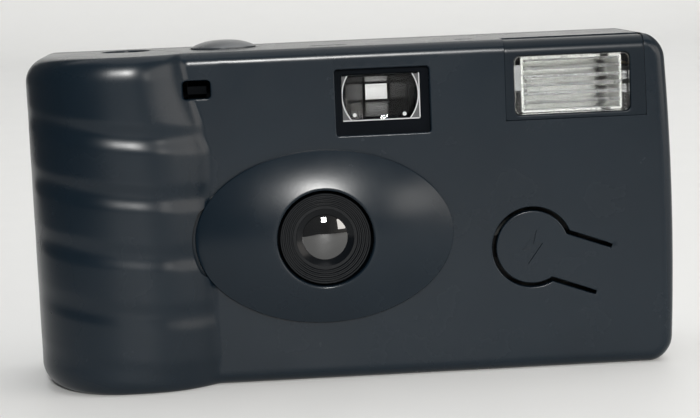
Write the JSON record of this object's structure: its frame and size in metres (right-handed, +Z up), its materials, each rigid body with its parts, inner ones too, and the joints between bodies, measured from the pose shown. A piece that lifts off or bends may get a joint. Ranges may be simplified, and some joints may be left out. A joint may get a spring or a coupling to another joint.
{
  "type": "disposable film camera",
  "caption": "Flat rounded film camera with a ribbed finger grip, oval lens bulge, viewfinder, flash with a press tongue, shutter button and thumbwheel.",
  "frame": {"origin": "middle of the base, half way between the grip's front and the thumbwheel's back", "axes": "+X to the right seen from the front, +Y from the front to the back, +Z up"},
  "size_m": [0.117, 0.0364, 0.062],
  "materials": {
    "cover": "satin moulded plastic, dark blue grey",
    "bezel": "satin moulded plastic, charcoal",
    "black": "matt black plastic",
    "chassis": "black moulded plastic",
    "clear": "clear polished plastic",
    "glass": "clear glass",
    "steel": "bright sheet and wire",
    "brass": "bright brass strip",
    "board": "brown laminate",
    "winding": "taped copper winding",
    "can": "black sleeved can",
    "cell": "plain sleeved cell",
    "cassette": "black lacquered sheet",
    "film": "brown glossy film",
    "white": "natural white plastic"
  },
  "bodies": {
    "housing": {"front_cover": "cover", "rear_cover": "cover", "flash_bezel": "bezel", "flash_window": "clear", "flash_reflector": "steel", "flash_tube": "glass", "tube_leads": "steel", "flash_board": "board", "flash_capacitor": "can", "flash_transformer": "winding", "charge_contact": "brass", "sync_contact": "brass", "neon_lamp": "glass", "ready_light_pipe": "clear", "battery": "cell", "battery_contact_top": "brass", "battery_contact_bottom": "brass", "viewfinder_frame": "black", "viewfinder_lens": "clear", "eyepiece_lens": "clear", "lens_ring": "black", "taking_lens": "glass", "shutter_plate": "black", "blade_spring": "steel", "striker_spring": "steel", "wheel_pawl": "white", "counter_window": "clear", "mechanism_plate": "chassis", "chassis": "chassis", "light_baffle": "black", "cassette_shell": "cassette", "film_strip": "film"},
    "shutter_button": {"shutter_button": "cover"},
    "release_lever": {"release_lever": "white"},
    "flash_button": {"flash_button": "cover"},
    "thumbwheel": {"thumbwheel": "black", "cassette_spool": "film"},
    "sprocket": {"sprocket": "white"},
    "supply_spool": {"supply_spool": "white", "film_roll": "film"},
    "counter_dial": {"counter_dial": "black"},
    "striker": {"striker": "white"},
    "shutter_blade": {"shutter_blade": "steel"},
    "film_door": {"film_door": "cover"}
  },
  "joints": [
    {"name": "button_press", "type": "slide", "parent": "housing", "child": "shutter_button", "axis": [0, 0, -1], "range_m": [0, 0.001], "stiffness_N_per_m": 900, "springref_m": -0.0004},
    {"name": "release_tip", "type": "hinge", "parent": "housing", "child": "release_lever", "pos_m": [-0.0223, -0.0045, 0.054], "axis": [-1, 0, 0], "range_deg": [0, 13.6]},
    {"name": "flash_button_press", "type": "hinge", "parent": "housing", "child": "flash_button", "pos_m": [0.04526, -0.0119, 0.01785], "axis": [-0.342, 0, -0.9397], "range_deg": [0, 4], "stiffness_Nm_per_rad": 0.4, "springref_deg": -0.29},
    {"name": "wheel_turn", "type": "hinge", "parent": "housing", "child": "thumbwheel", "pos_m": [-0.0416, 0.00335, 0.0538], "axis": [0, 0, 1], "continuous": true},
    {"name": "sprocket_turn", "type": "hinge", "parent": "housing", "child": "sprocket", "pos_m": [-0.02276, 0.00755, 0.05], "axis": [0, 0, 1], "continuous": true},
    {"name": "supply_turn", "type": "hinge", "parent": "housing", "child": "supply_spool", "pos_m": [0.025, 0.00555, 0.0265], "axis": [0, 0, 1], "continuous": true},
    {"name": "dial_turn", "type": "hinge", "parent": "housing", "child": "counter_dial", "pos_m": [-0.036, 0.0074, 0.0577], "axis": [0, 0, 1], "continuous": true},
    {"name": "striker_swing", "type": "hinge", "parent": "housing", "child": "striker", "pos_m": [-0.012, 0.002, 0.0527], "axis": [0, 0, -1], "range_deg": [0, 28], "stiffness_Nm_per_rad": 0.02, "springref_deg": -17.19, "deforming": ["striker_spring"]},
    {"name": "blade_swing", "type": "hinge", "parent": "housing", "child": "shutter_blade", "pos_m": [-0.0145, -0.00925, 0.035], "axis": [0, 1, 0], "range_deg": [0, 25], "stiffness_Nm_per_rad": 0.002, "springref_deg": -11.46, "deforming": ["blade_spring"]},
    {"name": "door_open", "type": "hinge", "parent": "housing", "child": "film_door", "pos_m": [-0.02935, 0.002, 0], "axis": [0, -1, 0], "range_deg": [0, 100]}
  ],
  "couplings": [
    {"joint": "release_tip", "follows": "button_press", "rad_per_m": 232.56},
    {"joint": "sprocket_turn", "follows": "wheel_turn", "ratio": 0.99},
    {"joint": "supply_turn", "follows": "wheel_turn", "ratio": 0.714},
    {"joint": "dial_turn", "follows": "wheel_turn", "ratio": -0.033}
  ]
}
